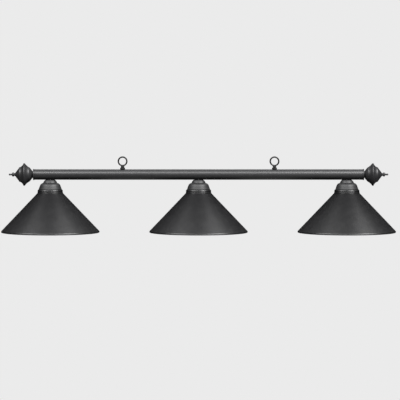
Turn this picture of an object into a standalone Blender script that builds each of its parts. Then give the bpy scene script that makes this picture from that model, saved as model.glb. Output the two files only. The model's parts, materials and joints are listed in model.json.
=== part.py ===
"""Three-shade pool table lamp: a steel bar hung by two eye bolts, with three fitters, sockets and cone shades.

Metres, +Z up, +X along the bar. The origin is midway between the centres of the two eye rings.
"""

import math

import bmesh
import bpy
from mathutils import Matrix, Vector

# ---- driving dimensions, in metres ----
GAP = 0.0003  # clearance that neighbouring pieces keep
BAR_Z = -0.048  # bar axis, below the eye ring centres
BAR_R = 0.019
BAR_WALL = 0.0015
BAR_HALF = 0.5937
LAMP_SPACING = 0.5367
EYE_SPACING = 0.5494
INLET_X = 0.025  # cord inlet, in the back wall
INLET_HOLE_R = 0.0050

EYE_RING_R = 0.0155  # ring centre line
EYE_WIRE_R = 0.0022
EYE_SHANK_R = 0.0032
EYE_SHANK_END = 0.0085  # this and EYE_NUT_TOP are heights above the bar axis
EYE_BOSS_R = 0.0058
EYE_BOSS_HEIGHT = 0.0062
EYE_COLLAR_R = 0.0090
EYE_COLLAR_HEIGHT = 0.0057
EYE_NUT_TOP = 0.0155

CAP_R = 0.0201
CAP_WIDTH = 0.0047
CAP_PLUG = 0.014
STUD_R = 0.0030
BELL_R = 0.0410  # finial flange
BELL_LENGTH = 0.0322
BELL_MOUTH_R = 0.0106
BELL_WALL = 0.0014
TIP_BEAD_R = 0.0076
TIP_STEM_R = 0.0030
TIP_BALL_R = 0.0036
TIP_END = 0.0876  # beyond the end cap
STUD_START = -0.012

NIPPLE_R = 0.00485
NIPPLE_BORE_R = 0.0032
NIPPLE_TOP = 0.0070  # this and the heights below are depths under the bar axis
NIPPLE_END = 0.0440
NUT_FLATS = 0.0140
NUT_HEIGHT = 0.0045
LOCK_NUT_TOP = 0.0100
NECK_TOP = 0.0193
NECK_TOP_R = 0.0170
NECK_FOOT_R = 0.0252
DOME_TOP = 0.0304
DOME_RIM = 0.0535
DOME_R = 0.0415
DOME_WALL = 0.0012
SOCKET_TOP = 0.0384
SOCKET_R = 0.0202
SOCKET_WAIST = 0.0465
SOCKET_SHOULDER = 0.0540
SOCKET_DECK = 0.0572  # floor of the wiring chamber
SOCKET_FLOOR = 0.0597
SOCKET_MOUTH = 0.0880
SOCKET_BORE_R = 0.0146
SKIRT_R = 0.0183
PLATE_TOP = 0.0543
PLATE_HOLE_R = 0.0188
SHADE_NECK_R = 0.0463
CONE_TOP = 0.0675
CONE_TOP_R = 0.0459
CONE_SLOPE = 0.954  # radius gained for each unit of depth
SHADE_WALL = 0.0012
RIM_BOTTOM = 0.2102
RIM_R = 0.1782
RIM_BEAD_R = 0.0026
RING_TOP = 0.0558
RING_HEIGHT = 0.0100
RING_R = 0.0270
BULB_BASE_R = 0.0129
BULB_CONTACT = 0.0616
BULB_NECK = 0.0845
BULB_R = 0.0300
BULB_TIP = 0.1718

LEAD_R = 0.0018
LEAD_TURN_R = 0.0115
LEAD_END = 0.0551
SPLICE_X = 0.058
SPLICE_Z = 0.004

SIDES = {"left": -1, "right": 1}
LAMPS = {"left": -1, "centre": 0, "right": 1}


# ---- materials ----
def material(name, colour, metallic, roughness, alpha=1.0):
    """One Principled material, made once and shared."""
    found = bpy.data.materials.get(name)
    if found:
        return found
    made = bpy.data.materials.new(name)
    made.use_nodes = True
    shader = made.node_tree.nodes["Principled BSDF"]
    shader.inputs["Base Color"].default_value = (*colour, 1.0)
    shader.inputs["Metallic"].default_value = metallic
    shader.inputs["Roughness"].default_value = roughness
    shader.inputs["Alpha"].default_value = alpha
    return made


def bar_paint():
    return material("bar_paint", (0.018, 0.018, 0.019), 0.0, 0.42)


def fitter_paint():
    return material("fitter_paint", (0.026, 0.026, 0.027), 0.0, 0.34)


def shade_paint():
    return material("shade_paint", (0.020, 0.020, 0.021), 0.0, 0.50)


def zinc():
    return material("zinc", (0.55, 0.55, 0.56), 1.0, 0.35)


def phenolic():
    return material("phenolic", (0.015, 0.014, 0.013), 0.0, 0.45)


def brass():
    return material("brass", (0.70, 0.52, 0.24), 1.0, 0.32)


def aluminium():
    return material("aluminium", (0.80, 0.80, 0.81), 1.0, 0.35)


def bulb_glass():
    return material("bulb_glass", (0.92, 0.92, 0.90), 0.0, 0.30, 0.6)


def lead_sleeve():
    return material("lead_sleeve", (0.02, 0.02, 0.02), 0.0, 0.55)


def rubber():
    return material("rubber", (0.02, 0.02, 0.02), 0.0, 0.70)


def splice_plastic():
    return material("splice_plastic", (0.75, 0.70, 0.55), 0.0, 0.40)


# ---- geometry helpers ----
def clear_scene():
    for item in list(bpy.data.objects):
        bpy.data.objects.remove(item, do_unlink=True)


def empty(name, location, parent=None):
    """A pivot, or a group's reference point."""
    pivot = bpy.data.objects.new(name, None)
    pivot.parent = parent
    pivot.location = location
    bpy.context.scene.collection.objects.link(pivot)
    return pivot


def add(bm, name, paint, parent, turn=None):
    """Makes a named object from a bmesh, smooth where it is round, with its material."""
    bmesh.ops.remove_doubles(bm, verts=bm.verts, dist=1e-6)
    bmesh.ops.recalc_face_normals(bm, faces=bm.faces)
    mesh = bpy.data.meshes.new(name)
    bm.to_mesh(mesh)
    bm.free()
    if turn:
        mesh.transform(turn)
    mesh.shade_smooth()
    mesh.set_sharp_from_angle(angle=math.radians(35))
    made = bpy.data.objects.new(name, mesh)
    if paint:
        mesh.materials.append(paint)
    made.parent = parent
    bpy.context.scene.collection.objects.link(made)
    return made


def arc(centre, radius, start, end, steps):
    """Profile points on an arc about centre, angles in degrees."""
    angles = [math.radians(start + (end - start) * i / steps) for i in range(steps + 1)]
    return [(centre[0] + radius * math.cos(a), centre[1] + radius * math.sin(a)) for a in angles]


def bend(start, pull, end, steps):
    """Profile points on a quadratic curve from start to end, without its first point."""
    points = []
    for i in range(1, steps + 1):
        t = i / steps
        weights = ((1 - t) ** 2, 2 * t * (1 - t), t * t)
        points.append(tuple(sum(w * p[k] for w, p in zip(weights, (start, pull, end))) for k in (0, 1)))
    return points


def lathe(profile, segments, closed=True):
    """Spins (r, z) points about Z; an open profile starts and ends on the axis."""
    bm = bmesh.new()
    line = [bm.verts.new((r, 0, z)) for r, z in profile]
    edges = [bm.edges.new(pair) for pair in zip(line, line[1:])]
    if closed:
        edges.append(bm.edges.new((line[-1], line[0])))
    bmesh.ops.spin(
        bm, geom=line + edges, cent=(0, 0, 0), axis=(0, 0, 1), angle=math.tau, steps=segments, use_merge=True
    )
    return bm


def below(profile):
    """Profile points whose second value is a depth under the bar axis."""
    return [(r, -depth) for r, depth in profile]


def hex_nut(hole_r, low, high):
    """A hexagonal nut along Z with a round hole."""
    bm = bmesh.new()
    outer = bmesh.ops.create_circle(bm, segments=6, radius=NUT_FLATS / 2 / math.cos(math.pi / 6))["verts"]
    inner = bmesh.ops.create_circle(bm, segments=12, radius=hole_r)["verts"]
    bmesh.ops.translate(bm, verts=outer + inner, vec=(0, 0, low))
    filled = bmesh.ops.triangle_fill(bm, edges=bm.edges[:], use_beauty=True)["geom"]
    faces = [item for item in filled if isinstance(item, bmesh.types.BMFace)]
    raised = bmesh.ops.extrude_face_region(bm, geom=faces, use_keep_orig=True)["geom"]
    tops = [item for item in raised if isinstance(item, bmesh.types.BMVert)]
    bmesh.ops.translate(bm, verts=tops, vec=(0, 0, high - low))
    return bm


def along_x(side):
    """Turns +Z onto +X, or onto -X for side -1."""
    return Matrix.Rotation(side * math.pi / 2, 4, "Y")


def use_tool(target, tool, operation):
    """Cuts or joins with a hidden guide object."""
    tool.hide_render = True
    tool.display_type = "WIRE"
    step = target.modifiers.new(operation.lower(), "BOOLEAN")
    step.operation = operation
    step.solver = "EXACT"
    step.object = tool


# ---- bar and its ends ----
def rod(bm, radius, depth, place):
    bmesh.ops.create_cone(
        bm, cap_ends=True, segments=16, radius1=radius, radius2=radius, depth=depth, matrix=place
    )


def bar_holes(bar):
    """Every hole in the tube's wall: eye bolts above, nipples below, cord inlet behind."""
    bm = bmesh.new()
    reach = BAR_R * 1.3
    for side in SIDES.values():
        rod(bm, EYE_SHANK_R + GAP, reach, Matrix.Translation((side * EYE_SPACING / 2, 0, reach / 2)))
    for lamp in LAMPS.values():
        rod(bm, NIPPLE_R + GAP, reach, Matrix.Translation((lamp * LAMP_SPACING, 0, -reach / 2)))
    behind = Matrix.Translation((INLET_X, reach / 2, 0)) @ Matrix.Rotation(math.pi / 2, 4, "X")
    rod(bm, INLET_HOLE_R, reach, behind)
    return add(bm, "cut_bar_holes", None, bar)


def bar_tube(bar):
    inner = BAR_R - BAR_WALL
    profile = [(BAR_R, BAR_HALF), (BAR_R, -BAR_HALF), (inner, -BAR_HALF), (inner, BAR_HALF)]
    tube = add(lathe(profile, 28), "bar_tube", bar_paint(), bar, along_x(1))
    use_tool(tube, bar_holes(bar), "DIFFERENCE")


def end_cap(bar, word, side):
    """Flanged plug in the tube's end, with a threaded hole for the finial stud."""
    flange = BAR_HALF + GAP
    face = flange + CAP_WIDTH
    plug_r = BAR_R - BAR_WALL - GAP
    wall = 0.002
    hole = STUD_R + GAP
    edge_r = 0.0010
    profile = [(hole, face)]
    profile += arc((CAP_R - edge_r, face - edge_r), edge_r, 90, 0, 2)
    profile += [
        (CAP_R, flange),
        (plug_r, flange),
        (plug_r, flange - CAP_PLUG),
        (plug_r - wall, flange - CAP_PLUG),
        (plug_r - wall, flange),
        (hole, flange),
    ]
    add(lathe(profile, 20), f"end_cap_{word}", bar_paint(), bar, along_x(side))


def inner_bell(finial, word, side, base):
    """Finial half next to the bar: cone, round shoulder, then a flare out to the flange."""
    shoulder = ((0.0236, 0.0106), (0.0270, 0.0136), (0.0278, 0.0165))
    flare = ((0.0278, 0.0165), (0.0316, 0.0226), (BELL_R, 0.0293))
    edge = BELL_LENGTH - GAP / 2
    line = [(STUD_R + GAP, 0), (BELL_MOUTH_R, 0), shoulder[0]]
    line += bend(*shoulder, 2) + bend(*flare, 3)
    line += [(BELL_R, edge), (BELL_R - 0.0020, edge), (0.0312, 0.0244), (0.0262, 0.0165)]
    line += [(BELL_MOUTH_R - 0.0005, BELL_WALL), (STUD_R + GAP, BELL_WALL)]
    profile = [(r, base + d) for r, d in line]
    add(lathe(profile, 18), f"finial_inner_{word}", bar_paint(), finial, along_x(side))


def outer_bell(finial, word, side, base):
    """Finial half away from the bar: flange, cove, round shoulder, then a cone to the tip."""
    edge = BELL_LENGTH + GAP / 2
    cove = ((BELL_R, edge + 0.0013), (0.0300, edge + 0.0062), (0.0264, edge + 0.0145))
    shoulder = ((0.0264, edge + 0.0145), (0.0256, edge + 0.0172), (0.0222, edge + 0.0188))
    mouth = edge + BELL_LENGTH - 0.0006
    line = [(BELL_R, edge), cove[0]]
    line += bend(*cove, 3) + bend(*shoulder, 2)
    line += [(0.0062, mouth), (STUD_R + GAP, mouth)]
    line += [(STUD_R + GAP, mouth - BELL_WALL), (0.0050, mouth - BELL_WALL), (0.0215, edge + 0.0170)]
    line += [(0.0249, edge + 0.0130), (0.0290, edge + 0.0048), (BELL_R - 0.0030, edge)]
    profile = [(r, base + d) for r, d in line]
    add(lathe(profile, 18), f"finial_outer_{word}", bar_paint(), finial, along_x(side))


def finial_tip(finial, word, side, base):
    """Turned knob with a bead and a small ball, on the end of the stud."""
    foot = 2 * BELL_LENGTH
    bead_arc_r = 0.0044
    bead = (TIP_BEAD_R - bead_arc_r, foot + 0.0072)
    line = [(0.0, foot), (0.0062, foot), (0.0050, foot + 0.0024)]
    line += arc(bead, bead_arc_r, -50, 62, 4)
    stem_meets = -math.degrees(math.acos(TIP_STEM_R / TIP_BALL_R))
    line += [(TIP_STEM_R, foot + 0.0126)]
    line += arc((0.0, TIP_END - TIP_BALL_R), TIP_BALL_R, stem_meets, 75, 4)
    line += [(0.0, TIP_END)]
    profile = [(r, base + d) for r, d in line]
    add(lathe(profile, 12, closed=False), f"finial_tip_{word}", bar_paint(), finial, along_x(side))


def finial_stud(finial, word, side, base):
    """Threaded rod from inside the bar, through the end cap and both bells."""
    start = base + STUD_START
    end = base + 2 * BELL_LENGTH - GAP
    profile = [(0, start), (STUD_R, start), (STUD_R, end), (0, end)]
    add(lathe(profile, 12, closed=False), f"finial_stud_{word}", zinc(), finial, along_x(side))


def finial(bar, word, side):
    pivot = empty(f"pivot_finial_{word}", (0, 0, 0), bar)
    base = BAR_HALF + GAP + CAP_WIDTH + GAP
    inner_bell(pivot, word, side, base)
    outer_bell(pivot, word, side, base)
    finial_tip(pivot, word, side, base)
    finial_stud(pivot, word, side, base)


# ---- eye bolts ----
def eye_ring(pivot, word):
    """The ring itself, a guide that is joined to its shank; its hole faces along Y."""
    section = arc((EYE_RING_R, 0), EYE_WIRE_R, 22.5, 337.5, 7)
    upright = Matrix.Translation((0, 0, -BAR_Z)) @ Matrix.Rotation(math.pi / 2, 4, "X")
    return add(lathe(section, 18), f"guide_ring_{word}", None, pivot, upright)


def eye_bolt(pivot, word):
    """Round boss and threaded shank, joined to the ring above them."""
    seat = BAR_R + GAP + EYE_COLLAR_HEIGHT + GAP
    boss_top = seat + EYE_BOSS_HEIGHT
    profile = [(0, boss_top), (0.0038, boss_top), (EYE_BOSS_R, boss_top - 0.0018), (EYE_BOSS_R, seat)]
    profile += [(EYE_SHANK_R, seat), (EYE_SHANK_R, EYE_SHANK_END), (0, EYE_SHANK_END)]
    bolt = add(lathe(profile, 14, closed=False), f"eye_bolt_{word}", bar_paint(), pivot)
    use_tool(bolt, eye_ring(pivot, word), "UNION")


def eye_collar(pivot, word):
    low = BAR_R + GAP
    high = low + EYE_COLLAR_HEIGHT
    profile = [(EYE_SHANK_R + GAP, high), (EYE_COLLAR_R - 0.0016, high), (EYE_COLLAR_R, high - 0.0016)]
    profile += [(EYE_COLLAR_R, low), (EYE_SHANK_R + GAP, low)]
    add(lathe(profile, 16), f"eye_collar_{word}", bar_paint(), pivot)


def eye(bar, word, side):
    pivot = empty(f"pivot_eye_{word}", (side * EYE_SPACING / 2, 0, 0), bar)
    eye_bolt(pivot, word)
    eye_collar(pivot, word)
    nut = hex_nut(EYE_SHANK_R + GAP, EYE_NUT_TOP - NUT_HEIGHT, EYE_NUT_TOP)
    add(nut, f"eye_nut_{word}", zinc(), pivot)


# ---- fitters and sockets ----
def nipple(lamp, word):
    """Threaded tube that carries the whole lamp and its lead."""
    profile = [(NIPPLE_R, NIPPLE_TOP), (NIPPLE_R, NIPPLE_END)]
    profile += [(NIPPLE_BORE_R, NIPPLE_END), (NIPPLE_BORE_R, NIPPLE_TOP)]
    add(lathe(below(profile), 12), f"nipple_{word}", zinc(), lamp)


def nipple_nuts(lamp, word):
    """One nut inside the bar and one under the dome."""
    hole = NIPPLE_R + GAP
    upper = hex_nut(hole, -LOCK_NUT_TOP - NUT_HEIGHT, -LOCK_NUT_TOP)
    add(upper, f"bar_nut_{word}", zinc(), lamp)
    dome_inside = DOME_TOP + DOME_WALL + GAP
    lower = hex_nut(hole, -dome_inside - NUT_HEIGHT, -dome_inside)
    add(lower, f"dome_nut_{word}", zinc(), lamp)


def neck_cap(lamp, word):
    """Tapered collar between the bar and the dome."""
    hole = NIPPLE_R + GAP
    foot = DOME_TOP - GAP
    edge = (NECK_TOP_R + 0.0009, NECK_TOP + 0.0006)
    profile = [(hole, NECK_TOP), (NECK_TOP_R, NECK_TOP), edge]
    profile += bend(edge, (0.0225, NECK_TOP + 0.0039), (NECK_FOOT_R, foot - 0.0012), 3)
    profile += [(NECK_FOOT_R - 0.0008, foot), (hole, foot)]
    add(lathe(below(profile), 18), f"neck_cap_{word}", fitter_paint(), lamp)


def dome_cap(lamp, word):
    """Spun dome over the socket, open below."""
    hole = NIPPLE_R + GAP
    crown = (0.0254, DOME_TOP)
    haunch = (0.0375, DOME_TOP + 0.0108)
    rim = (DOME_R, DOME_RIM)
    outside = [crown] + bend(crown, (0.0342, DOME_TOP + 0.0016), haunch, 4)
    outside += bend(haunch, (0.0394, DOME_TOP + 0.0162), rim, 2)
    inside = [(r - 0.9 * DOME_WALL, depth + 0.5 * DOME_WALL) for r, depth in reversed(outside[1:-1])]
    profile = [(hole, DOME_TOP)] + outside + [(DOME_R - DOME_WALL, DOME_RIM)] + inside
    profile += [(crown[0] - 0.0010, DOME_TOP + DOME_WALL), (hole, DOME_TOP + DOME_WALL)]
    add(lathe(below(profile), 20), f"dome_cap_{word}", fitter_paint(), lamp)


def socket_body(lamp, word):
    """Moulded lamp socket: wiring chamber above, screw shell bore below, threaded skirt outside."""
    hole = NIPPLE_R + GAP
    rivet_hole = 0.0023
    chamber_r = 0.0140
    profile = [(hole, SOCKET_TOP), (0.0100, SOCKET_TOP), (0.0175, SOCKET_WAIST - 0.0030)]
    profile += [(SOCKET_R, SOCKET_WAIST), (SOCKET_R, SOCKET_SHOULDER)]
    profile += [(SKIRT_R, SOCKET_SHOULDER), (SKIRT_R, SOCKET_MOUTH)]
    profile += [(SOCKET_BORE_R, SOCKET_MOUTH), (SOCKET_BORE_R, SOCKET_FLOOR), (rivet_hole, SOCKET_FLOOR)]
    profile += [(rivet_hole, SOCKET_DECK), (chamber_r, SOCKET_DECK), (chamber_r, SOCKET_WAIST + 0.0015)]
    profile += [(hole, SOCKET_WAIST)]
    add(lathe(below(profile), 16), f"socket_body_{word}", phenolic(), lamp)


def screw_shell(lamp, word):
    """Metal sleeve in the socket's bore that the lamp base turns in."""
    outer = SOCKET_BORE_R - GAP
    inner = outer - 0.0007
    top = SOCKET_FLOOR + GAP + 0.0030
    profile = [(outer, top), (outer, SOCKET_MOUTH - 0.0015), (inner, SOCKET_MOUTH - 0.0015), (inner, top)]
    add(lathe(below(profile), 16), f"screw_shell_{word}", aluminium(), lamp)


def centre_contact(lamp, word):
    """Rivet through the socket floor with a flat contact disc under it."""
    shank_r = 0.0020
    head = SOCKET_DECK - GAP
    plate = SOCKET_FLOOR + GAP
    profile = [(0, head - 0.0015), (0.0035, head - 0.0015), (0.0035, head), (shank_r, head)]
    profile += [(shank_r, plate), (0.0065, plate), (0.0065, plate + 0.0010), (0, plate + 0.0010)]
    add(lathe(below(profile), 12, closed=False), f"centre_contact_{word}", brass(), lamp)


# ---- shade, ring and bulb ----
def shade(pivot, word):
    """Spun cone with a flat top plate, a beaded neck and a rolled rim."""
    bead_r = SHADE_NECK_R - 0.0020
    profile = [(PLATE_HOLE_R, PLATE_TOP), (bead_r, PLATE_TOP), (SHADE_NECK_R, PLATE_TOP + 0.0020)]
    profile += [(SHADE_NECK_R, PLATE_TOP + 0.0035), (SHADE_NECK_R - 0.0012, PLATE_TOP + 0.0055)]
    profile += [(SHADE_NECK_R, PLATE_TOP + 0.0085), (CONE_TOP_R, CONE_TOP)]
    roll = (RIM_R - RIM_BEAD_R, RIM_BOTTOM - RIM_BEAD_R)
    meet = roll[1] - 0.8 * RIM_BEAD_R
    flat = 0.0006
    cone_end_r = CONE_TOP_R + CONE_SLOPE * (meet - CONE_TOP)
    profile += [(cone_end_r, meet), (RIM_R, roll[1] - flat), (RIM_R, roll[1] + flat)]
    profile += [(roll[0] + 2 * flat, RIM_BOTTOM), (roll[0] - 2 * flat, RIM_BOTTOM)]
    profile += [(roll[0] - RIM_BEAD_R, roll[1])]
    slant_wall = SHADE_WALL * math.hypot(1, CONE_SLOPE)
    neck_inside = SHADE_NECK_R - 0.0030
    profile += [(cone_end_r - slant_wall, meet), (CONE_TOP_R - slant_wall, CONE_TOP)]
    profile += [(neck_inside, CONE_TOP - 0.0020), (neck_inside, PLATE_TOP + SHADE_WALL)]
    profile += [(PLATE_HOLE_R, PLATE_TOP + SHADE_WALL)]
    add(lathe(below(profile), 32), f"shade_{word}", shade_paint(), pivot)


def shade_ring(pivot, word):
    """Threaded ring under the shade's top plate."""
    hole = SKIRT_R + 0.0004
    low = RING_TOP + RING_HEIGHT
    profile = [(hole, RING_TOP), (RING_R, RING_TOP), (RING_R, RING_TOP + 0.0025)]
    profile += [(0.0225, RING_TOP + 0.0040), (0.0225, low), (hole, low)]
    add(lathe(below(profile), 16), f"shade_ring_{word}", phenolic(), pivot)


def bulb(pivot, word):
    """Frosted envelope with an open neck, above a screw base."""
    centre = BULB_TIP - BULB_R
    outer = [(0.0132, BULB_NECK), (0.0140, 0.0950), (0.0215, 0.1190)]
    outer += [(r, centre + d) for r, d in arc((0, 0), BULB_R, -20, 90, 5)]
    wall = 0.0008
    inner = [(max(r - wall, 0), depth - wall * (depth > centre)) for r, depth in reversed(outer)]
    outer[-1] = (0, BULB_TIP)
    inner[0] = (0, BULB_TIP - wall)
    profile = list(reversed(outer)) + list(reversed(inner))
    add(lathe(below(profile), 12, closed=False), f"bulb_glass_{word}", bulb_glass(), pivot)
    base = [(0, BULB_CONTACT), (0.0035, BULB_CONTACT), (0.0040, BULB_CONTACT + 0.0010), (0.0105, 0.0650)]
    base += [(BULB_BASE_R, 0.0665), (BULB_BASE_R, BULB_NECK - GAP), (0, BULB_NECK - GAP)]
    add(lathe(below(base), 12, closed=False), f"bulb_base_{word}", aluminium(), pivot)


def lamp_unit(bar, word, side):
    place = (side * LAMP_SPACING, 0, 0)
    lamp = empty(f"lamp_{word}", place, bar)
    nipple(lamp, word)
    nipple_nuts(lamp, word)
    neck_cap(lamp, word)
    dome_cap(lamp, word)
    socket_body(lamp, word)
    screw_shell(lamp, word)
    centre_contact(lamp, word)
    turning = empty(f"pivot_lamp_{word}", (0, 0, 0), lamp)
    shade(turning, word)
    shade_ring(turning, word)
    bulb(turning, word)


# ---- wiring held inside the bar ----
def smooth_route(anchors, spacing):
    """Points along a Catmull-Rom curve through the anchors."""
    line = [Vector(p) for p in anchors]
    line = [2 * line[0] - line[1]] + line + [2 * line[-1] - line[-2]]
    route = []
    for a, b, c, d in zip(line, line[1:], line[2:], line[3:]):
        steps = max(1, round((c - b).length / spacing))
        square = 2 * a - 5 * b + 4 * c - d
        cube = 3 * b - a - 3 * c + d
        for i in range(steps):
            t = i / steps
            route.append(0.5 * (2 * b + (c - a) * t + square * t**2 + cube * t**3))
    route.append(line[-2])
    return route


def lead(bar, name, route):
    """A round twin lead as a curve with filled ends."""
    curve = bpy.data.curves.new(name, "CURVE")
    curve.dimensions = "3D"
    curve.bevel_depth = LEAD_R
    curve.bevel_resolution = 2
    curve.use_fill_caps = True
    spline = curve.splines.new("POLY")
    spline.points.add(len(route) - 1)
    for point, place in zip(spline.points, route):
        point.co = (*place, 1)
    curve.materials.append(lead_sleeve())
    made = bpy.data.objects.new(name, curve)
    made.parent = bar
    bpy.context.scene.collection.objects.link(made)


def drop(x, side):
    """The last turn of a lead: from along the bar, moving towards side, down into the nipple at x."""
    turn = [
        (x - side * LEAD_TURN_R * (1 - math.sin(a)), 0, LEAD_TURN_R * math.cos(a) - 0.005)
        for a in (0, math.pi / 6, math.pi / 3, math.pi / 2)
    ]
    return turn + [(x, 0, -0.020), (x, 0, -LEAD_END)]


def wiring(bar):
    """Three leads from one splice in the middle of the bar, each down a nipple to its socket."""
    mouth = SPLICE_X - GAP
    left = [(mouth, -0.0046, 0.002), (0.036, -0.008, 0.0), (0.0, -0.011, -0.002), (-0.060, -0.008, -0.006)]
    left += [(-0.260, -0.004, -0.010), (-0.450, -0.003, -0.008), (-0.505, -0.001, 0.004)]
    lead(bar, "lamp_lead_left", smooth_route(left + drop(-LAMP_SPACING, -1), 0.040))
    centre = [(mouth, 0, 0.0065), (0.035, 0, 0.0068)]
    lead(bar, "lamp_lead_centre", smooth_route(centre + drop(0, -1), 0.020))
    right = [(mouth, 0.0046, 0.002), (0.050, 0.0050, 0.0015), (0.0435, 0.0055, -0.0050)]
    right += [(0.050, 0.0050, -0.0118), (0.075, 0.003, -0.0125), (0.260, 0.002, -0.011)]
    right += [(0.450, 0.003, -0.008), (0.505, 0.001, 0.004)]
    lead(bar, "lamp_lead_right", smooth_route(right + drop(LAMP_SPACING, 1), 0.040))


def splice_cap(bar):
    """Closed-end connector over the joined lead ends."""
    profile = [(0, SPLICE_X), (0.0078, SPLICE_X), (0.0078, SPLICE_X + 0.004), (0.0055, SPLICE_X + 0.022)]
    profile += [(0, SPLICE_X + 0.022)]
    cap = add(lathe(profile, 12, closed=False), "splice_cap", splice_plastic(), bar, along_x(1))
    cap.location = (0, 0, SPLICE_Z)


def inlet_grommet(bar):
    """Rubber ring in the bar's back wall, where the supply cord goes in."""
    outer_face = BAR_R + GAP
    inner_face = 0.0158
    waist = INLET_HOLE_R - GAP
    bore = 0.0033
    profile = [(bore, outer_face + 0.0020), (0.0062, outer_face + 0.0020), (0.0075, outer_face + 0.0008)]
    profile += [(0.0075, outer_face), (waist, outer_face), (waist, inner_face), (0.0062, inner_face)]
    profile += [(0.0062, inner_face - 0.0018), (bore, inner_face - 0.0018)]
    backwards = Matrix.Rotation(-math.pi / 2, 4, "X")
    grommet = add(lathe(profile, 12), "inlet_grommet", rubber(), bar, backwards)
    grommet.location = (INLET_X, 0, 0)


def main():
    clear_scene()
    bar = empty("bar", (0, 0, BAR_Z))
    bar_tube(bar)
    for word, side in SIDES.items():
        end_cap(bar, word, side)
        finial(bar, word, side)
        eye(bar, word, side)
    for word, side in LAMPS.items():
        lamp_unit(bar, word, side)
    wiring(bar)
    splice_cap(bar)
    inlet_grommet(bar)


main()
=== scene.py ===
"""Looks of the three-shade pool table lamp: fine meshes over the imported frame, in a studio."""

import json
import math

import bmesh
import bpy
from mathutils import Matrix, Vector

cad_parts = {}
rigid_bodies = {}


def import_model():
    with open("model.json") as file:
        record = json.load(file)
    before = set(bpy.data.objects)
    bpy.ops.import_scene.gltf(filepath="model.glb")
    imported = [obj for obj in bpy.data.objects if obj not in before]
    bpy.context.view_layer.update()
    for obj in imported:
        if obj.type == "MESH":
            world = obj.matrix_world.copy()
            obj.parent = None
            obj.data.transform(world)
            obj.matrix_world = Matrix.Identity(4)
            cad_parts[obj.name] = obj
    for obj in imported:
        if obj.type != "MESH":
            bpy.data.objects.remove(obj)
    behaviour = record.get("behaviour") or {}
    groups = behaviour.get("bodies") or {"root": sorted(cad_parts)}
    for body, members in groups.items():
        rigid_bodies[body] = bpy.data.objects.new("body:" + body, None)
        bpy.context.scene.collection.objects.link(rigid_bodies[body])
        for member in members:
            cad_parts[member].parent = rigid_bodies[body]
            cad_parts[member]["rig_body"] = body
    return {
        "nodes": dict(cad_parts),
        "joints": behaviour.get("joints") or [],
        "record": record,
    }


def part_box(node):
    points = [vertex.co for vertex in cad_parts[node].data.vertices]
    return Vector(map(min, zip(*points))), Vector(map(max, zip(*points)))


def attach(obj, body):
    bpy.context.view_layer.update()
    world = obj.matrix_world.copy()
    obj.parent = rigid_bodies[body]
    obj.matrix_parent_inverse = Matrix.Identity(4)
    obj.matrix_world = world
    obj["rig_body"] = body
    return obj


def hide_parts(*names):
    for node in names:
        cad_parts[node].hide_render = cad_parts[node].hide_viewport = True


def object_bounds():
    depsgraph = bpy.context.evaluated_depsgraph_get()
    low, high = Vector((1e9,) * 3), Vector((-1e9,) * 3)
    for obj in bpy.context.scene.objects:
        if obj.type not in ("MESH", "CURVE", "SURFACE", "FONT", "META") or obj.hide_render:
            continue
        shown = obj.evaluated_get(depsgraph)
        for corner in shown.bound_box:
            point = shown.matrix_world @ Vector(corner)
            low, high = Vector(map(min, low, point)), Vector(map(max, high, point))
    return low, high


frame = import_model()
CAD_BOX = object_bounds()

MM = 0.001
TINY = 1e-6  # millimetres: less than this is nothing
SIDES = ("left", "right")
LAMPS = ("left", "centre", "right")
CONE_ANGLE = math.radians(43.66)  # between the shades' axis and their side
TUBE_WALL = 1.5  # this and the next five are in millimetres
CLEARANCE = 0.3  # between touching pieces
NIPPLE_BORE = 5.15  # radius of the holes for the threaded nipples
STUD_BORE = 3.3  # radius of the holes for the finial studs
EYE_BORE = 3.5  # radius of the holes for the eye bolts' shanks
INLET_BORE = 5.0  # radius of the hole for the cord inlet
BACKDROP = 0.831  # linear tone of the floor and the background


# ---- places and sizes, read from the frame ----
def middle(node):
    low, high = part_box(node)
    return (low + high) / 2


def size(node):
    low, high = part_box(node)
    return high - low


def outer_radius(node):
    """Largest radius of a node that is turned about a vertical axis, in millimetres."""
    return size(node).x / 2 / MM


def joint_axis(name):
    """A point on the joint's axis."""
    joint = next(j for j in frame["joints"] if j["name"] == name)
    return Vector(joint["pos_m"])


BAR = middle("bar_tube")
BAR_R = size("bar_tube").z / 2


# ---- outlines: lists of (radius, distance along the axis), in millimetres ----
def arc(centre, radius, start, end, steps):
    """Points on an arc about centre, angles in degrees."""
    angles = [math.radians(start + (end - start) * i / steps) for i in range(steps + 1)]
    return [(centre[0] + radius * math.cos(a), centre[1] + radius * math.sin(a)) for a in angles]


def bend(start, pull, end, steps=10):
    """Points on a quadratic curve from start to end, without its first point."""
    points = []
    for i in range(1, steps + 1):
        t = i / steps
        weights = ((1 - t) ** 2, 2 * t * (1 - t), t * t)
        points.append(tuple(sum(w * p[k] for w, p in zip(weights, (start, pull, end))) for k in (0, 1)))
    return points


def straight(start, end, steps):
    """Evenly spaced points from start to end, without the first."""
    return [tuple(start[k] + (end[k] - start[k]) * i / steps for k in (0, 1)) for i in range(1, steps + 1)]


def softened(outline, radius, steps=4):
    """Rounds each sharp corner of a closed outline with a small curve."""
    least_turn = 25  # degrees
    most_share = 0.45  # of an edge that one corner's curve may take
    points = []
    for i, corner in enumerate(outline):
        here = Vector(corner)
        back = Vector(outline[i - 1]) - here
        ahead = Vector(outline[(i + 1) % len(outline)]) - here
        if min(back.length, ahead.length) < TINY or math.degrees(back.angle(-ahead)) < least_turn:
            points.append(corner)
            continue
        near = min(radius, back.length * most_share, ahead.length * most_share)
        start = here + back.normalized() * near
        end = here + ahead.normalized() * near
        points.append(tuple(start))
        points += bend(tuple(start), corner, tuple(end), steps)
    return points


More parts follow.
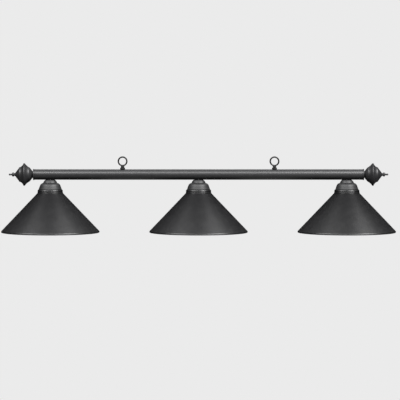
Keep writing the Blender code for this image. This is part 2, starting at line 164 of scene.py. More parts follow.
# ---- mesh helpers ----
def to_object(bm, name, place):
    """Turns a bmesh into a linked object, and frees it."""
    mesh = bpy.data.meshes.new(name)
    bm.to_mesh(mesh)
    bm.free()
    made = bpy.data.objects.new(name, mesh)
    made.location = place
    bpy.context.scene.collection.objects.link(made)
    return made


def smooth_shading(piece, sharp=40):
    """Shades smoothly, but keeps edges that turn more than sharp degrees."""
    piece.data.shade_smooth()
    piece.data.set_sharp_from_angle(angle=math.radians(sharp))


# turns that lay an outline's own Z axis along another
TURNS = {
    "Z": Matrix.Identity(4),
    "X": Matrix.Rotation(math.pi / 2, 4, "Y"),
    "-X": Matrix.Rotation(-math.pi / 2, 4, "Y"),
    "Y": Matrix.Rotation(-math.pi / 2, 4, "X"),
}


def lathe(name, outline, place, segments=96, closed=True, axis="Z", ripple=None):
    """Turns a millimetre outline about an axis through place; ripple(angle, r, z) adds to the radius."""
    bm = bmesh.new()
    rings = []
    for r, z in outline:
        if r < TINY:
            rings.append([bm.verts.new((0, 0, z * MM))] * segments)
            continue
        ring = []
        for k in range(segments):
            angle = math.tau * k / segments
            radius = r + (ripple(angle, r, z) if ripple else 0)
            x, y = radius * MM * math.cos(angle), radius * MM * math.sin(angle)
            ring.append(bm.verts.new((x, y, z * MM)))
        rings.append(ring)
    pairs = list(zip(rings, rings[1:]))
    if closed:
        pairs.append((rings[-1], rings[0]))
    for one, two in pairs:
        for k in range(segments):
            n = (k + 1) % segments
            corners = list(dict.fromkeys((one[k], one[n], two[n], two[k])))
            if len(corners) > 2:
                bm.faces.new(corners)
    bmesh.ops.recalc_face_normals(bm, faces=bm.faces)
    bmesh.ops.transform(bm, matrix=TURNS[axis], verts=bm.verts)
    piece = to_object(bm, name, place)
    smooth_shading(piece)
    return piece


def apply_modifiers(piece):
    """Bakes a piece's modifiers into its mesh."""
    graph = bpy.context.evaluated_depsgraph_get()
    mesh = bpy.data.meshes.new_from_object(piece.evaluated_get(graph))
    piece.modifiers.clear()
    piece.data = mesh


def boolean(piece, tool, operation):
    """Cuts or joins with tool, then deletes it."""
    step = piece.modifiers.new("boolean", "BOOLEAN")
    step.operation = operation
    step.solver = "EXACT"
    step.object = tool
    apply_modifiers(piece)
    bpy.data.objects.remove(tool, do_unlink=True)


def finish_piece(piece, slot, node, paint=None):
    """Paints a piece, seats it on its node's body and hides the node; paint replaces the slot's own."""
    piece.data.materials.clear()
    piece.data.materials.append(PAINTS[paint or slot])
    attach(piece, frame["nodes"][node]["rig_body"])
    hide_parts(node)


# ---- material helpers ----
class Paint:
    """A Principled material whose colour, roughness and bump come from procedural nodes."""

    def __init__(self, name, metallic=0.0, coat=0.0, coat_roughness=0.2, specular=0.5):
        self.material = bpy.data.materials.new(name)
        self.material.use_nodes = True
        self.nodes = self.material.node_tree.nodes
        self.links = self.material.node_tree.links
        self.shader = self.nodes["Principled BSDF"]
        self.shader.inputs["Metallic"].default_value = metallic
        self.shader.inputs["Coat Weight"].default_value = coat
        self.shader.inputs["Coat Roughness"].default_value = coat_roughness
        self.shader.inputs["Specular IOR Level"].default_value = specular
        self.place = self.nodes.new("ShaderNodeTexCoord").outputs["Object"]
        self.normal = None

    def node(self, kind, **settings):
        made = self.nodes.new(kind)
        for key, value in settings.items():
            setattr(made, key, value)
        return made

    def noise(self, per_metre, detail=4.0, roughness=0.55, stretch=None, source=None):
        """Noise whose features are about 1 / per_metre wide."""
        source = source or self.place
        if stretch:
            mapping = self.node("ShaderNodeMapping")
            mapping.inputs["Scale"].default_value = stretch
            self.links.new(source, mapping.inputs["Vector"])
            source = mapping.outputs["Vector"]
        made = self.node("ShaderNodeTexNoise")
        made.inputs["Scale"].default_value = per_metre
        made.inputs["Detail"].default_value = detail
        made.inputs["Roughness"].default_value = roughness
        self.links.new(source, made.inputs["Vector"])
        return made.outputs["Fac"]

    def cells(self, per_metre):
        """Rounded cells about 1 / per_metre wide, for orange peel."""
        made = self.node("ShaderNodeTexVoronoi", feature="SMOOTH_F1")
        made.inputs["Scale"].default_value = per_metre
        made.inputs["Smoothness"].default_value = 0.8
        self.links.new(self.place, made.inputs["Vector"])
        return made.outputs["Distance"]

    def span(self, value, low, high, from_low=0.3, from_high=0.7):
        """Maps a texture's middle range onto low..high."""
        made = self.node("ShaderNodeMapRange", clamp=True)
        self.links.new(value, made.inputs["Value"])
        made.inputs["From Min"].default_value = from_low
        made.inputs["From Max"].default_value = from_high
        made.inputs["To Min"].default_value = low
        made.inputs["To Max"].default_value = high
        return made.outputs["Result"]

    def blend(self, one, share_one, two, share_two):
        """Weighted sum of two textures."""
        total = self.node("ShaderNodeMath", operation="ADD")
        for socket, (texture, share) in zip(total.inputs, ((one, share_one), (two, share_two))):
            scaled = self.node("ShaderNodeMath", operation="MULTIPLY")
            self.links.new(texture, scaled.inputs[0])
            scaled.inputs[1].default_value = share
            self.links.new(scaled.outputs[0], socket)
        return total.outputs[0]

    def colour(self, share, dark, light, specks=None, tone=None):
        """Blends two colours by a texture, with sparse specks of a third over them."""
        made = self.node("ShaderNodeMix", data_type="RGBA")
        self.links.new(share, made.inputs["Factor"])
        made.inputs["A"].default_value = (*dark, 1)
        made.inputs["B"].default_value = (*light, 1)
        if specks:
            base = made.outputs["Result"]
            made = self.node("ShaderNodeMix", data_type="RGBA")
            self.links.new(specks, made.inputs["Factor"])
            self.links.new(base, made.inputs["A"])
            made.inputs["B"].default_value = (*tone, 1)
        self.links.new(made.outputs["Result"], self.shader.inputs["Base Color"])

    def roughness(self, value):
        self.links.new(value, self.shader.inputs["Roughness"])

    def bump(self, height, depth):
        """Adds a bump layer of the given depth, in metres, over the earlier ones."""
        made = self.node("ShaderNodeBump")
        made.inputs["Distance"].default_value = depth
        self.links.new(height, made.inputs["Height"])
        if self.normal:
            self.links.new(self.normal, made.inputs["Normal"])
        self.normal = made.outputs["Normal"]
        self.links.new(self.normal, self.shader.inputs["Normal"])

    def gloss_by_depth(self, depth, stops):
        """Sets the gloss by the depth under the object's origin, from (share of depth, gloss) stops."""
        split = self.node("ShaderNodeSeparateXYZ")
        self.links.new(self.place, split.inputs[0])
        ramp = self.node("ShaderNodeValToRGB")
        self.links.new(self.span(split.outputs["Z"], 0, 1, 0, -depth), ramp.inputs["Fac"])
        elements = ramp.color_ramp.elements
        while len(elements) < len(stops):
            elements.new(0.5)
        for element, (position, gloss) in zip(elements, stops):
            element.position = position
            element.color = (gloss, gloss, gloss, 1)
        self.links.new(ramp.outputs["Color"], self.shader.inputs["Specular IOR Level"])

    def spin_marks(self, per_metre):
        """Fine rings round the object's own Z axis, left by spinning the metal."""
        flat = self.node("ShaderNodeVectorMath", operation="MULTIPLY")
        self.links.new(self.place, flat.inputs[0])
        flat.inputs[1].default_value = (1, 1, 0)
        length = self.node("ShaderNodeVectorMath", operation="LENGTH")
        self.links.new(flat.outputs["Vector"], length.inputs[0])
        line = self.node("ShaderNodeCombineXYZ")
        self.links.new(length.outputs["Value"], line.inputs["X"])
        return self.noise(per_metre, detail=3, roughness=0.6, source=line.outputs["Vector"])


def powder_coat(name, dark, light, rough, specular=0.5, spun=0.0, fade=None):
    """Baked powder paint on steel: fine grain, a soft orange peel, faint cloudy gloss and a little dust.

    spun is the depth of spinning marks, in metres, and fade is what gloss_by_depth takes; on the shade it
    is painted light, a gloss that rises towards the rim in place of brighter light there.
    """
    uneven = 0.015  # how far the roughness wanders to each side
    paint = Paint(name, specular=specular)
    cloud = paint.noise(45, detail=3)
    fine = paint.noise(1500, detail=2)
    dust = paint.span(paint.noise(2600, detail=1), 0, 0.3, 0.68, 0.76)
    paint.colour(paint.span(cloud, 0, 1), dark, light, dust, tuple(2 * c for c in light))
    mixed = paint.blend(cloud, 0.6, fine, 0.4)
    paint.roughness(paint.span(mixed, rough - uneven, rough + uneven, 0.35, 0.65))
    if spun:
        paint.bump(paint.spin_marks(260), spun)
    paint.bump(paint.cells(420), 0.0012 * MM)
    paint.bump(fine, 0.0006 * MM)
    if fade:
        paint.gloss_by_depth(*fade)
    return paint.material


def enamel():
    """Off-white baked enamel inside the shades."""
    paint = Paint("inner_enamel", coat=0.25, coat_roughness=0.18)
    dust = paint.span(paint.noise(1800, detail=1), 0, 0.25, 0.68, 0.75)
    cloud = paint.span(paint.noise(30, detail=3), 0, 1)
    paint.colour(cloud, (0.85, 0.84, 0.80), (0.90, 0.89, 0.86), dust, (0.45, 0.43, 0.38))
    paint.roughness(paint.span(paint.noise(120), 0.32, 0.46))
    paint.bump(paint.cells(380), 0.03 * MM)
    return paint.material


def metal(name, dark, light, low, high, lines=(1, 1, 6)):
    """Plated or drawn metal with fine lines along one way."""
    paint = Paint(name, metallic=1.0)
    streak = paint.noise(500, detail=5, stretch=lines)
    paint.colour(paint.span(paint.noise(90, detail=3), 0, 1), dark, light)
    paint.roughness(paint.span(streak, low, high))
    paint.bump(streak, 0.008 * MM)
    return paint.material


def moulded(name, dark, light, low, high, specular=0.5):
    """Moulded plastic or rubber with a fine cast texture and a little flow marking."""
    paint = Paint(name, specular=specular)
    flow = paint.noise(60, stretch=(1, 1, 2.5))
    specks = paint.span(paint.noise(2200, detail=1), 0, 0.3, 0.66, 0.75)
    paint.colour(paint.span(flow, 0, 1), dark, light, specks, tuple(min(1, 2 * c) for c in light))
    paint.roughness(paint.span(flow, low, high))
    paint.bump(paint.noise(900, detail=3), 0.01 * MM)
    return paint.material


def frosted_glass():
    """Soft white envelope: frosted inside, smooth outside."""
    paint = Paint("frosted_glass", coat=0.6, coat_roughness=0.06)
    paint.shader.inputs["Subsurface Weight"].default_value = 0.3
    paint.shader.inputs["Subsurface Radius"].default_value = (0.01, 0.01, 0.01)
    paint.colour(paint.span(paint.noise(70, detail=3), 0, 1), (0.83, 0.83, 0.80), (0.90, 0.90, 0.88))
    paint.roughness(paint.span(paint.noise(300, detail=3), 0.34, 0.44))
    paint.bump(paint.noise(900, detail=2), 0.008 * MM)
    return paint.material


# (share of the depth under the top plate, gloss): the beaded neck, then the cone, then the rolled rim. The
# gloss that rises down the cone and peaks just above the rim is painted light: it makes the shade's lower
# part reflect more, standing in for light that falls brighter there, not for a change in the paint.
SHADE_GLOSS = ((0.0, 0.25), (0.085, 0.25), (0.09, 0.14), (0.25, 0.15), (0.955, 0.52), (0.972, 0.32))
SHADE_DEPTH = 0.156  # metres

PAINTS = {
    "bar_paint": powder_coat("bar_powder_coat", (0.0138, 0.0138, 0.0146), (0.0166, 0.0166, 0.0174), 0.41),
    "fitter_paint": powder_coat(
        "fitter_powder_coat", (0.0122, 0.0122, 0.0128), (0.0152, 0.0152, 0.0158), 0.52,
        specular=0.38, spun=0.02 * MM,
    ),
    "shade_paint": powder_coat(
        "shade_powder_coat", (0.0063, 0.0063, 0.0067), (0.0081, 0.0081, 0.0085), 0.37,
        specular=0.32, spun=0.015 * MM, fade=(SHADE_DEPTH, SHADE_GLOSS),
    ),
    "finial_paint": powder_coat(
        "finial_powder_coat", (0.0115, 0.0115, 0.0122), (0.0145, 0.0145, 0.0152), 0.48, specular=0.48
    ),
    "eye_paint": powder_coat(
        "eye_powder_coat", (0.006, 0.006, 0.006), (0.010, 0.010, 0.010), 0.42, specular=0.25
    ),
    "enamel": enamel(),
    "zinc": metal("zinc_plate", (0.50, 0.50, 0.52), (0.62, 0.61, 0.58), 0.26, 0.42),
    "phenolic": moulded("black_phenolic", (0.010, 0.009, 0.008), (0.017, 0.015, 0.013), 0.30, 0.44),
    "brass": metal("contact_brass", (0.62, 0.44, 0.18), (0.75, 0.56, 0.27), 0.24, 0.40),
    "aluminium": metal(
        "pressed_aluminium", (0.72, 0.72, 0.73), (0.83, 0.83, 0.84), 0.22, 0.38, lines=(1, 1, 9)
    ),
    "bulb_glass": frosted_glass(),
    "lead_sleeve": moulded("lead_pvc", (0.014, 0.014, 0.014), (0.022, 0.022, 0.022), 0.42, 0.55),
    "rubber": moulded(
        "grommet_rubber", (0.012, 0.012, 0.012), (0.020, 0.020, 0.020), 0.58, 0.72, specular=0.35
    ),
    "splice_plastic": moulded("splice_nylon", (0.66, 0.60, 0.46), (0.76, 0.70, 0.56), 0.32, 0.45),
}


# ---- bar, end caps and finials ----
def drill(piece, x, way, radius):
    """Drills the tube's wall at x, on the side that way points to; the radius is in millimetres."""
    reach = BAR_R * 1.4
    turn = Vector((0, 0, 1)).rotation_difference(Vector(way)).to_matrix().to_4x4()
    bm = bmesh.new()
    bmesh.ops.create_cone(
        bm, cap_ends=True, segments=48, radius1=radius * MM, radius2=radius * MM, depth=reach,
        matrix=Matrix.Translation(Vector(way) * reach / 2) @ turn,
    )
    boolean(piece, to_object(bm, "drill", (x, BAR.y, BAR.z)), "DIFFERENCE")


def bar_tube():
    half = size("bar_tube").x / 2 / MM
    outer = BAR_R / MM
    inner = outer - TUBE_WALL
    section = [(outer, -half), (outer, half), (inner, half), (inner, -half)]
    tube = lathe("tube", softened(section, 0.4, 3), BAR, 128, axis="X")
    for side in SIDES:
        drill(tube, middle(f"eye_collar_{side}").x, (0, 0, 1), EYE_BORE)
    for lamp in LAMPS:
        drill(tube, middle(f"nipple_{lamp}").x, (0, 0, -1), NIPPLE_BORE)
    drill(tube, middle("inlet_grommet").x, (0, 1, 0), INLET_BORE)
    smooth_shading(tube)
    finish_piece(tube, "bar_paint", "bar_tube")


def along_bar(side, node):
    """Nearest and furthest distance of a node from the bar's middle, in millimetres."""
    return sorted(abs(corner.x - BAR.x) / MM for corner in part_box(node))


def on_bar(name, side, outline, start, node, segments=128, closed=True, paint="finial_paint"):
    """A piece turned about the bar's axis, from an outline whose distances run outwards from start."""
    axis = "X" if side == "right" else "-X"
    shifted = [(r, start + d) for r, d in outline]
    piece = lathe(name, shifted, BAR, segments, closed, axis)
    finish_piece(piece, "bar_paint", node, paint)


def end_cap(side):
    """Flanged plug; distances run outwards from its inner end."""
    node = f"end_cap_{side}"
    start, face = along_bar(side, node)
    length = face - start
    radius = size(node).z / 2 / MM
    flange = length - 4.7
    plug = BAR_R / MM - 1.8
    skirt = plug - 2.0
    section = [(STUD_BORE, length), (radius, length), (radius, flange), (plug, flange)]
    section += [(plug, 0), (skirt, 0), (skirt, flange), (STUD_BORE, flange)]
    on_bar(f"bar_end_{side}", side, softened(section, 1.0, 6), start, node, paint="bar_paint")


def inner_bell(side):
    """Finial half next to the bar: cone, round shoulder, then a flare out to the flange."""
    node = f"finial_inner_{side}"
    base, edge = along_bar(side, node)
    rim = size(node).z / 2 / MM
    length = edge - base
    line = [(STUD_BORE, 0), (10.6, 0), (11.8, 0.9)]
    line += straight(line[-1], (22.6, 9.8), 4)
    line += bend(line[-1], (27.0, 13.3), (27.9, 16.6), 12)
    line += bend(line[-1], (31.6, 22.8), (rim - 0.8, length - 2.7), 16)
    line += [(rim, length - 1.8), (rim, length), (rim - 2.0, length), (31.2, 24.6)]
    line += [(26.4, 16.8), (21.0, 10.4), (10.0, 1.4), (STUD_BORE, 1.4)]
    on_bar(f"bell_inner_{side}", side, softened(line, 0.5), base, node)


def outer_bell(side):
    """Finial half away from the bar: flange, cove, round shoulder, then a cone to the tip."""
    node = f"finial_outer_{side}"
    edge, mouth = along_bar(side, node)
    rim = size(node).z / 2 / MM
    length = mouth - edge
    line = [(rim, 0), (rim, 1.0), (rim - 0.8, 1.7)]
    line += bend(line[-1], (30.6, 5.6), (27.2, 13.6), 16)
    line += bend(line[-1], (26.7, 17.9), (22.4, 19.3), 12)
    line += straight(line[-1], (7.4, 30.6), 4)
    line += [(6.2, length), (STUD_BORE, length), (STUD_BORE, length - 1.4), (5.4, length - 1.4)]
    line += [(21.4, 17.6), (25.2, 13.2), (29.0, 5.8), (rim - 3.0, 0)]
    on_bar(f"bell_outer_{side}", side, softened(line, 0.5), edge, node)


def finial_tip(side):
    """Turned knob: foot, neck, bead, stem and end ball."""
    node = f"finial_tip_{side}"
    foot, end = along_bar(side, node)
    stem, ball = 3.0, 3.6  # radii
    line = [(0, 0), (6.2, 0), (6.3, 0.5)]
    line += bend(line[-1], (4.9, 1.0), (5.0, 2.6), 6)
    line += arc((3.2, 7.2), 4.4, -54, 66, 14)
    line += bend(line[-1], (stem + 0.1, 11.6), (stem, 13.4), 6)
    line += straight(line[-1], (stem, 17.0), 3)
    line += arc((0, end - foot - ball), ball, -math.degrees(math.acos(stem / ball)), 90, 14)
    line[-1] = (0, end - foot)
    on_bar(f"tip_{side}", side, line, foot, node, 64, closed=False)


# ---- eye bolts ----
def eye_bolt(side):
    """Forged ring grown out of its boss, with a plain shank below."""
    node = f"eye_bolt_{side}"
    low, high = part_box(node)
    pivot = joint_axis(f"eye_{side}_turn")
    wire, cad_wire = 2.7, 2.2  # radii
    ring_r = (high.x - low.x) / 2 / MM - cad_wire
    centre = Vector((pivot.x, pivot.y, high.z - (high.x - low.x) / 2))
    ring = lathe(f"eye_{side}", arc((ring_r, 0), wire, 0, 345, 23), centre, 96, axis="Y")
    seat = (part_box(f"eye_collar_{side}")[1].z - centre.z) / MM + CLEARANCE
    foot = (low.z - centre.z) / MM
    shank, boss = 3.2, 6.4  # radii
    line = [(0, seat + 8.4), (2.6, seat + 8.2)]
    line += bend(line[-1], (3.8, seat + 5.9), (5.8, seat + 5.1), 8)
    line += [(boss, seat + 4.4), (boss, seat + 0.3), (boss - 0.4, seat), (shank, seat)]
    line += [(shank, foot + 0.5), (shank - 0.5, foot), (0, foot)]
    boolean(ring, lathe("boss", line, centre, 48, closed=False), "UNION")
    remesh = ring.modifiers.new("remesh", "REMESH")
    remesh.mode = "VOXEL"
    remesh.voxel_size = 0.32 * MM
    smooth = ring.modifiers.new("smooth", "SMOOTH")
    smooth.factor = 0.5
    smooth.iterations = 5
    apply_modifiers(ring)
    ring.data.shade_smooth()
    finish_piece(ring, "bar_paint", node, "eye_paint")


def eye_collar(side):
    node = f"eye_collar_{side}"
    place = middle(node)
    radius = outer_radius(node)
    half = size(node).z / 2 / MM
    bevel = 1.6
    section = [(EYE_BORE, -half), (radius, -half), (radius, half - bevel)]
    section += [(radius - bevel, half), (EYE_BORE, half)]
    collar = lathe(f"collar_{side}", softened(section, 0.5), place, 64)
    finish_piece(collar, "bar_paint", node, "eye_paint")


# ---- fitters and sockets ----
def on_lamp(name, lamp, outline, node, slot, segments=96, closed=True, ripple=None):
    """A piece turned about the lamp's axis; its outline gives depths under the node's top."""
    axis = joint_axis(f"shade_{lamp}_turn")
    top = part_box(node)[1].z
    rising = [(r, -depth) for r, depth in outline]
    piece = lathe(name, rising, (axis.x, axis.y, top), segments, closed, ripple=ripple)
    finish_piece(piece, slot, node)
    return piece


def neck_cap(lamp):
    """Tapered collar between the bar and the dome."""
    node = f"neck_cap_{lamp}"
    foot_r = outer_radius(node)
    height = size(node).z / MM
    line = [(NIPPLE_BORE, 0), (17.0, 0), (17.9, 0.5)]
    line += bend(line[-1], (22.5, 3.9), (foot_r - 0.3, height - 1.5), 14)
    line += [(foot_r, height - 1.0), (foot_r, height - 0.5), (foot_r - 0.8, height), (NIPPLE_BORE, height)]
    on_lamp(f"collar_cap_{lamp}", lamp, softened(line, 0.4), node, "fitter_paint")


def dome_cap(lamp):
    """Spun dome over the socket, open below."""
    node = f"dome_cap_{lamp}"
    rim = outer_radius(node)
    height = size(node).z / MM
    wall = 1.2
    haunch = (37.5, 10.8)
    outside = bend((25.0, 0), (34.2, 1.6), haunch, 20)
    outside += bend(haunch, (39.4, 16.2), (rim - 0.1, height - 0.9), 12)
    inside = [(r - 0.9 * wall, depth + 0.5 * wall) for r, depth in reversed(outside[:-1])]
    line = [(NIPPLE_BORE, 0), (25.0, 0)] + outside
    line += [(rim, height - 0.5), (rim - 0.3, height), (rim - wall, height)] + inside
    line += [(24.6, wall), (NIPPLE_BORE, wall)]
    on_lamp(f"dome_{lamp}", lamp, softened(line, 0.4), node, "fitter_paint", 128)


def socket_body(lamp):
    """Moulded socket: wiring chamber above, bore below, and a threaded skirt for the ring nut."""
    node = f"socket_body_{lamp}"
    body = outer_radius(node)
    height = size(node).z / MM
    skirt, bore = 18.3, 14.6  # radii
    shoulder, floor = 15.6, 21.3  # depths
    line = [(NIPPLE_BORE, 0), (10.0, 0), (17.5, 5.1), (body, 8.1), (body, shoulder), (skirt, shoulder)]
    pitch = 3.2
    thread_depth = 0.7
    for turn in range(7):
        start = shoulder + 2.4 + turn * pitch
        line += [(skirt - thread_depth, start), (skirt - thread_depth, start + 1.1)]
        line += [(skirt, start + 1.7), (skirt, start + 2.6)]
    line += [(skirt, height), (bore, height), (bore, floor), (2.3, floor), (2.3, floor - 2.5)]
    line += [(14.0, floor - 2.5), (14.0, 9.6), (NIPPLE_BORE, 8.1)]
    on_lamp(f"socket_{lamp}", lamp, softened(line, 0.35), node, "phenolic")


THREAD_PITCH = 3.6  # millimetres


def thread(angle, z):
    """Wave of a rolled screw thread, from -1 to 1."""
    return math.cos(math.tau * z / THREAD_PITCH - angle)


def screw_shell(lamp):
    """Rolled sleeve whose wall follows the thread."""
    node = f"screw_shell_{lamp}"
    middle_r = outer_radius(node) - 0.75
    height = size(node).z / MM
    half_wall, rows, wave = 0.2, 40, 0.3
    outside = [(middle_r + half_wall, height * i / rows) for i in range(rows + 1)]
    inside = [(middle_r - half_wall, depth) for _, depth in reversed(outside)]
    on_lamp(
        f"sleeve_{lamp}", lamp, outside + inside, node, "aluminium", 64,
        ripple=lambda angle, r, z: wave * thread(angle, z),
    )


# ---- shades, rings and bulbs ----
SHADE_SEGMENTS = 192


def shade(lamp):
    """Spun shade: top plate, two beads and a groove, straight cone and rolled rim; white inside."""
    node = f"shade_{lamp}"
    rim = outer_radius(node)
    height = size(node).z / MM
    slope = math.tan(CONE_ANGLE)
    wall = 1.2
    plate_hole, bead = 18.8, 46.1  # radii of the hole in the top plate and of the upper bead
    cone_start = 13.6  # depth
    edge, brow = 2.5, 8.0  # radii of the rolled edge and of the softer turn above it
    brow_end = 15  # where the softer turn meets the edge's, in degrees
    edge_centre = (rim - edge, height - edge)
    lean = math.radians(brow_end)
    brow_centre = (
        edge_centre[0] - (brow - edge) * math.cos(lean),
        edge_centre[1] + (brow - edge) * math.sin(lean),
    )
    join = (
        brow_centre[0] + brow * math.cos(CONE_ANGLE),
        brow_centre[1] - brow * math.sin(CONE_ANGLE),
    )
    cone_top = (join[0] - slope * (join[1] - cone_start), cone_start)
    line = [(plate_hole, 0), (42.6, 0), (43.7, 0.5)]
    line += straight(line[-1], (bead - 0.5, 4.1), 3)
    line += bend(line[-1], (bead + 0.1, 5.0), (bead - 0.7, 5.7), 6)
    line += straight(line[-1], (bead - 0.7, 8.4), 2)
    line += arc((bead - 1.6, 11.8), 1.9, -50, 40, 12)
    line += bend(line[-1], (cone_top[0] - 0.1, cone_start - 0.3), cone_top, 3)
    line += straight(line[-1], join, 60)
    line += arc(brow_centre, brow, -math.degrees(CONE_ANGLE) + 4, -brow_end, 8)
    line += arc(edge_centre, edge, -brow_end + 8, 175, 18)
    line += [(edge_centre[0] - 0.75 * edge, edge_centre[1] - 0.55 * edge)]
    slant = wall / math.cos(CONE_ANGLE)
    line += [(join[0] - slant - 1.5 * slope, join[1] - 1.5)]
    inner_start = len(line) - 1
    line += straight(line[-1], (cone_top[0] - slant, cone_start), 60)
    inside = bead - 3.0
    line += bend(line[-1], (inside, cone_start - 1.0), (inside, cone_start - 3.0), 4)
    line += [(inside, wall + 1.5), (inside - 1.0, wall), (plate_hole, wall)]
    piece = on_lamp(f"cone_shade_{lamp}", lamp, line, node, "shade_paint", SHADE_SEGMENTS)
    smooth_shading(piece, 50)
    paint_inside(piece, inner_start * SHADE_SEGMENTS)


def paint_inside(piece, first_vertex):
    """White enamel on every face made only of the outline's inner points."""
    piece.data.materials.append(PAINTS["enamel"])
    for face in piece.data.polygons:
        if min(face.vertices) >= first_vertex:
            face.material_index = 1


def shade_ring(lamp):
    """Ring nut with finger ribs round its skirt."""
    node = f"shade_ring_{lamp}"
    flange = outer_radius(node)
    height = size(node).z / MM
    bore, body = 18.7, 22.4  # radii
    ribs, rib_height, skirt_top = 30, 0.22, 3.2
    line = [(bore, 0), (flange, 0), (flange, 2.2), (body, 3.4), (body, 4.5)]
    line += [(body, height - 1.0), (body - 1.0, height), (bore, height)]

    def grip(angle, r, z):
        on_skirt = r > bore + 1.3 and -height + 0.5 < z < -skirt_top
        return math.copysign(rib_height, math.cos(ribs * angle)) if on_skirt else 0

    on_lamp(f"ring_nut_{lamp}", lamp, softened(line, 0.3), node, "phenolic", 240, ripple=grip)


def bulb_glass(lamp):
    """Pear-shaped envelope, open at its neck."""
    node = f"bulb_glass_{lamp}"
    ball = outer_radius(node)
    height = size(node).z / MM
    centre = height - ball
    wall = 0.8
    outer = [(12.7, 0), (12.75, 2.2), (13.3, 4.2), (13.9, 9.0)]
    outer += bend(outer[-1], (15.2, 22.0), (23.5, centre - 18.8), 14)
    outer += arc((0, centre), ball, -36, 90, 26)
    outer[-1] = (0, height)
    inner = [(max(r - wall, 0), depth - wall * (depth > centre)) for r, depth in reversed(outer)]
    on_lamp(f"envelope_{lamp}", lamp, outer + inner, node, "bulb_glass", 72, closed=False)


def bulb_base(lamp):
    """Rolled screw cap shaped with an insulator and a soldered tip, all in the cap's one aluminium finish.
    """
    node = f"bulb_base_{lamp}"
    height = size(node).z / MM
    shell, rows, wave = 12.55, 36, 0.32
    screw_start, screw_end = 5.2, height - 1.6
    line = [(0, 0), (3.4, 0), (4.2, 1.2), (10.2, 3.6), (11.8, 4.2)]
    line += straight((shell, screw_start), (shell, screw_end), rows)
    line += [(12.9, height - 0.9), (12.9, height), (0, height)]

    def rolled(angle, r, z):
        return wave * thread(angle, z) if abs(r - shell) < TINY else 0

    on_lamp(f"screw_cap_{lamp}", lamp, line, node, "aluminium", 64, closed=False, ripple=rolled)


# ---- cord inlet ----
def inlet_grommet():
    """Rubber ring in the bar's back wall; distances run backwards from the bar's axis."""
    node = "inlet_grommet"
    inner, outer = ((corner.y - BAR.y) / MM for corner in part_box(node))
    flange = size(node).x / 2 / MM
    bore, waist, lip = 3.3, 4.7, 6.2  # radii
    section = [(bore, outer), (flange - 1.3, outer), (flange, outer - 1.2), (flange, outer - 2.0)]
    section += [(waist, outer - 2.0), (waist, inner + 1.8), (lip, inner + 1.8), (lip, inner), (bore, inner)]
    place = middle(node)
    ring = lathe("cord_inlet", softened(section, 0.6), (place.x, BAR.y, place.z), 64, axis="Y")
    finish_piece(ring, "rubber", node)


def carried_over():
    """Better materials for the frame's own nodes that stay: nuts, nipples, studs, contacts and wiring."""
    for part in frame["record"]["subparts"]:
        materials = frame["nodes"][part["node"]].data.materials
        materials.clear()
        materials.append(PAINTS[part["material_slot"]])


# ---- studio ----
def glow(name):
    """A plain pale material that shows at the same tone everywhere, only from above, and lights nothing."""
    pale = bpy.data.materials.new(name)
    pale.use_nodes = True
    pale.cycles.emission_sampling = "NONE"
    tree = pale.node_tree
    tree.nodes.clear()
    light = tree.nodes.new("ShaderNodeEmission")
    light.inputs["Color"].default_value = (BACKDROP, BACKDROP, BACKDROP, 1)
    clear = tree.nodes.new("ShaderNodeBsdfTransparent")
    face = tree.nodes.new("ShaderNodeNewGeometry")
    mix = tree.nodes.new("ShaderNodeMixShader")
    tree.links.new(face.outputs["Backfacing"], mix.inputs["Fac"])
    tree.links.new(light.outputs["Emission"], mix.inputs[1])
    tree.links.new(clear.outputs["BSDF"], mix.inputs[2])
    out = tree.nodes.new("ShaderNodeOutputMaterial")
    tree.links.new(mix.outputs["Shader"], out.inputs["Surface"])
    return pale


def studio():
    """Pale floor far below the lamp, and a pale world, which only the camera sees."""
    reach = 60
    gap = 1.2  # under the lamp
    floor_z = CAD_BOX[0].z - gap
    mesh = bpy.data.meshes.new("floor")
    corners = [(x * reach, y * reach, floor_z) for x, y in ((-1, -1), (1, -1), (1, 1), (-1, 1))]
    mesh.from_pydata(corners, [], [(0, 1, 2, 3)])
    mesh.materials.append(glow("studio_floor"))
    floor = bpy.data.objects.new("floor", mesh)
    bpy.context.scene.collection.objects.link(floor)
    floor.visible_diffuse = False
    floor.visible_glossy = False
    floor.visible_shadow = False
    world = bpy.data.worlds.new("studio")
    bpy.context.scene.world = world
    world.use_nodes = True
    world.node_tree.nodes["Background"].inputs["Color"].default_value = (BACKDROP, BACKDROP, BACKDROP, 1)
    world.cycles.sampling_method = "NONE"
    world.cycles_visibility.diffuse = False
    world.cycles_visibility.glossy = False
    bpy.context.scene.view_settings.view_transform = "Standard"


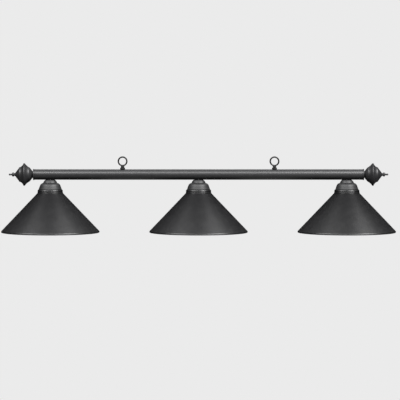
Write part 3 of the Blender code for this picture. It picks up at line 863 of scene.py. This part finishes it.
def sun(name, azimuth, elevation, strength, width):
    """A soft distant light; azimuth 0 is on the camera's side and grows to its right."""
    data = bpy.data.lights.new(name, "SUN")
    data.energy = strength
    data.angle = math.radians(width)
    light = bpy.data.objects.new(name, data)
    a, e = math.radians(azimuth), math.radians(elevation)
    towards = Vector((math.sin(a) * math.cos(e), -math.cos(a) * math.cos(e), math.sin(e)))
    light.rotation_mode = "QUATERNION"
    light.rotation_quaternion = towards.to_track_quat("Z", "Y")
    bpy.context.scene.collection.objects.link(light)


def lights():
    """Four soft lights from the front, and weak fill from low in front, behind and below."""
    sun("key_left", -61, 46, 3.4, 26)
    sun("key_right", 58, 47, 5.6, 24)
    sun("front_left", -22, 45, 1.7, 20)
    sun("front_right", 22, 45, 1.8, 20)
    sun("low_front", 25, 8, 0.5, 60)
    sun("back", 180, 42, 0.6, 40)
    sun("below", 0, -80, 0.9, 110)


def camera():
    """Long lens a little above the bar: the object fills nearly the whole width."""
    elevation = math.radians(3.0)
    distance = 12.0
    margin = 1.0125  # the picture's width over the lamp's
    right, down = 0.0053, 0.0924  # from the bar's middle to the picture's
    width = (CAD_BOX[1].x - CAD_BOX[0].x) * margin
    aim = Vector((BAR.x + right, BAR.y, BAR.z - down))
    data = bpy.data.cameras.new("camera")
    data.sensor_width = 36
    data.lens = data.sensor_width * distance / width
    data.clip_end = 100
    made = bpy.data.objects.new("camera", data)
    back = Vector((0, -math.cos(elevation), math.sin(elevation)))
    made.location = aim + back * distance
    made.rotation_mode = "QUATERNION"
    made.rotation_quaternion = back.to_track_quat("Z", "Y")
    bpy.context.scene.collection.objects.link(made)
    bpy.context.scene.camera = made


carried_over()
bar_tube()
for word in SIDES:
    end_cap(word)
    inner_bell(word)
    outer_bell(word)
    finial_tip(word)
    eye_bolt(word)
    eye_collar(word)
for word in LAMPS:
    neck_cap(word)
    dome_cap(word)
    socket_body(word)
    screw_shell(word)
    shade(word)
    shade_ring(word)
    bulb_glass(word)
    bulb_base(word)
inlet_grommet()
camera()
lights()
studio()
